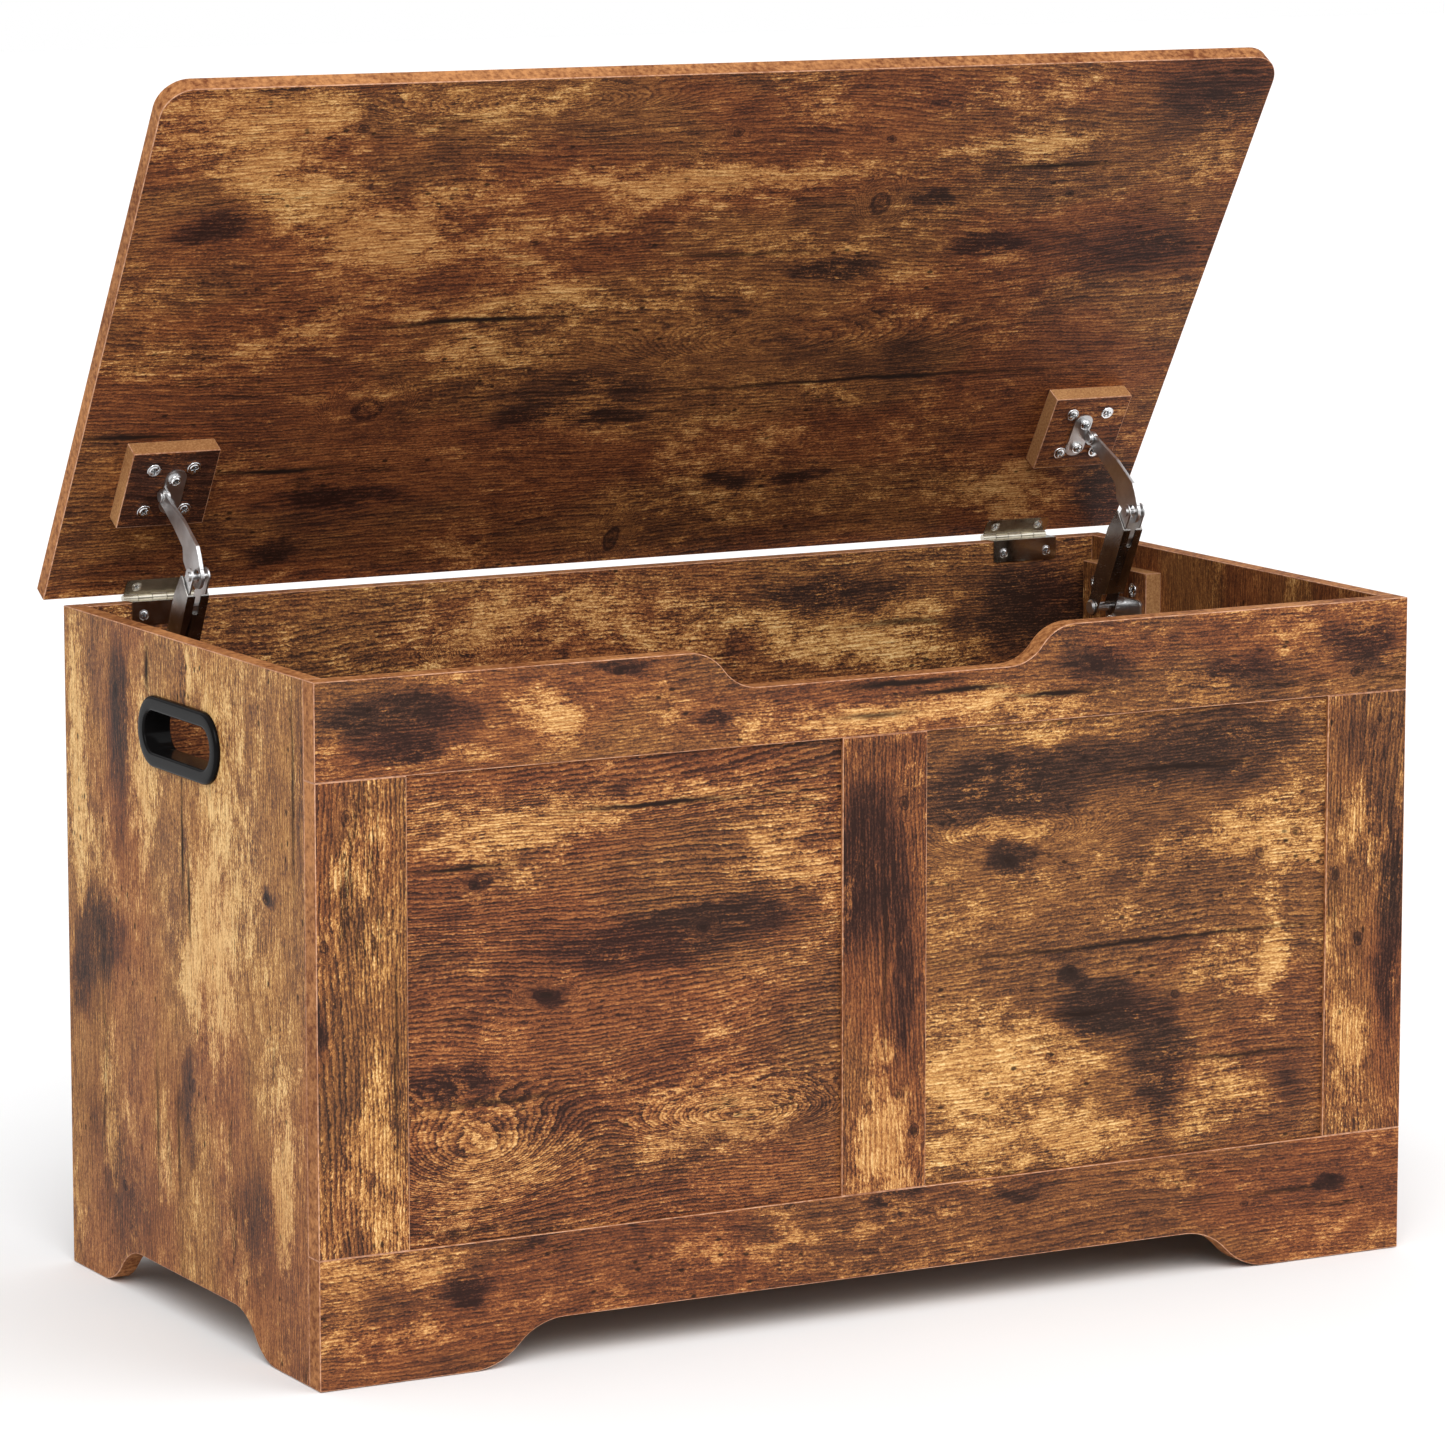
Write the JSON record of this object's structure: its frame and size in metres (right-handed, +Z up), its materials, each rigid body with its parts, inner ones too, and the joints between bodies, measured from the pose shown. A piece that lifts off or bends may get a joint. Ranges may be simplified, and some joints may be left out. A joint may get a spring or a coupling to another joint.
{
  "type": "toy box",
  "caption": "Low rectangular wooden toy chest with a hinged lid held open by side stays, a scooped front rail, panelled front, end handles and cut-out feet.",
  "frame": {"origin": "on the floor, at the middle of the whole toy box's footprint with the lid at rest", "axes": "+X along the box to the right seen from the front, +Y from the front to the hinged back, +Z up"},
  "size_m": [0.8, 0.3894, 0.7719],
  "materials": {
    "rustic_board": "rustic brown wood-grain laminate on engineered board, satin",
    "plain_timber": "unfinished timber",
    "black_plastic": "glossy moulded plastic",
    "nickel_hinge": "dull nickel-plated pressed steel",
    "zinc_screw": "bright zinc-plated steel",
    "stay_casing_steel": "dark nickel-plated folded steel",
    "stay_bright_steel": "bright zinc-plated pressed steel",
    "buffer_nylon": "moulded nylon"
  },
  "bodies": {
    "box": {"left_side_panel": "rustic_board", "right_side_panel": "rustic_board", "back_panel": "rustic_board", "bottom_panel": "rustic_board", "bottom_cleats": "plain_timber", "cleat_screws": "zinc_screw", "cam_bolts": "zinc_screw", "cam_locks": "zinc_screw", "frame_dowels": "plain_timber", "front_top_rail": "rustic_board", "front_bottom_rail": "rustic_board", "front_left_stile": "rustic_board", "front_centre_stile": "rustic_board", "front_right_stile": "rustic_board", "front_left_infill": "rustic_board", "front_right_infill": "rustic_board", "left_handle_outer": "black_plastic", "left_handle_inner": "black_plastic", "right_handle_outer": "black_plastic", "right_handle_inner": "black_plastic", "left_side_block": "rustic_board", "right_side_block": "rustic_board", "side_block_screws": "zinc_screw", "left_hinge_box_leaf": "nickel_hinge", "right_hinge_box_leaf": "nickel_hinge", "left_hinge_pin": "nickel_hinge", "right_hinge_pin": "nickel_hinge", "hinge_box_screws": "zinc_screw", "left_stay_base_plate": "stay_bright_steel", "right_stay_base_plate": "stay_bright_steel", "left_stay_base_pin": "stay_bright_steel", "right_stay_base_pin": "stay_bright_steel", "stay_base_screws": "zinc_screw"},
    "lid": {"lid_panel": "rustic_board", "left_lid_block": "rustic_board", "right_lid_block": "rustic_board", "lid_block_screws": "zinc_screw", "left_hinge_lid_leaf": "nickel_hinge", "right_hinge_lid_leaf": "nickel_hinge", "hinge_lid_screws": "zinc_screw", "left_stay_lid_bracket": "stay_bright_steel", "right_stay_lid_bracket": "stay_bright_steel", "stay_bracket_screws": "zinc_screw", "left_stay_lid_rivet": "stay_bright_steel", "right_stay_lid_rivet": "stay_bright_steel"},
    "left_casing": {"left_stay_casing": "stay_casing_steel", "left_stay_channel": "stay_bright_steel", "left_stay_elbow_pin": "stay_bright_steel", "left_stay_buffer": "buffer_nylon", "left_stay_springs": "stay_bright_steel"},
    "left_arm": {"left_stay_arm": "stay_bright_steel"},
    "right_casing": {"right_stay_casing": "stay_casing_steel", "right_stay_channel": "stay_bright_steel", "right_stay_elbow_pin": "stay_bright_steel", "right_stay_buffer": "buffer_nylon", "right_stay_springs": "stay_bright_steel"},
    "right_arm": {"right_stay_arm": "stay_bright_steel"}
  },
  "joints": [
    {"name": "lid_hinge", "type": "hinge", "parent": "box", "child": "lid", "pos_m": [0, 0.18494, 0.429], "axis": [1, 0, 0], "range_deg": [-11.6, 58.4]},
    {"name": "left_base_pivot", "type": "hinge", "parent": "box", "child": "left_casing", "pos_m": [-0.3438, 0.10784, 0.388], "axis": [1, 0, 0], "range_deg": [-13.33, 67.05]},
    {"name": "left_lid_pivot", "type": "hinge", "parent": "lid", "child": "left_arm", "pos_m": [-0.3438, 0.12114, 0.5016], "axis": [-1, 0, 0], "range_deg": [-13.99, 70.38]},
    {"name": "right_base_pivot", "type": "hinge", "parent": "box", "child": "right_casing", "pos_m": [0.3438, 0.10784, 0.388], "axis": [1, 0, 0], "range_deg": [-13.33, 67.05]},
    {"name": "right_lid_pivot", "type": "hinge", "parent": "lid", "child": "right_arm", "pos_m": [0.3438, 0.12114, 0.5016], "axis": [-1, 0, 0], "range_deg": [-13.99, 70.38]}
  ],
  "couplings": [
    {"joint": "left_base_pivot", "follows": "lid_hinge", "ratio": 1.148},
    {"joint": "left_lid_pivot", "follows": "lid_hinge", "ratio": 1.205},
    {"joint": "right_base_pivot", "follows": "lid_hinge", "ratio": 1.148},
    {"joint": "right_lid_pivot", "follows": "lid_hinge", "ratio": 1.205}
  ]
}
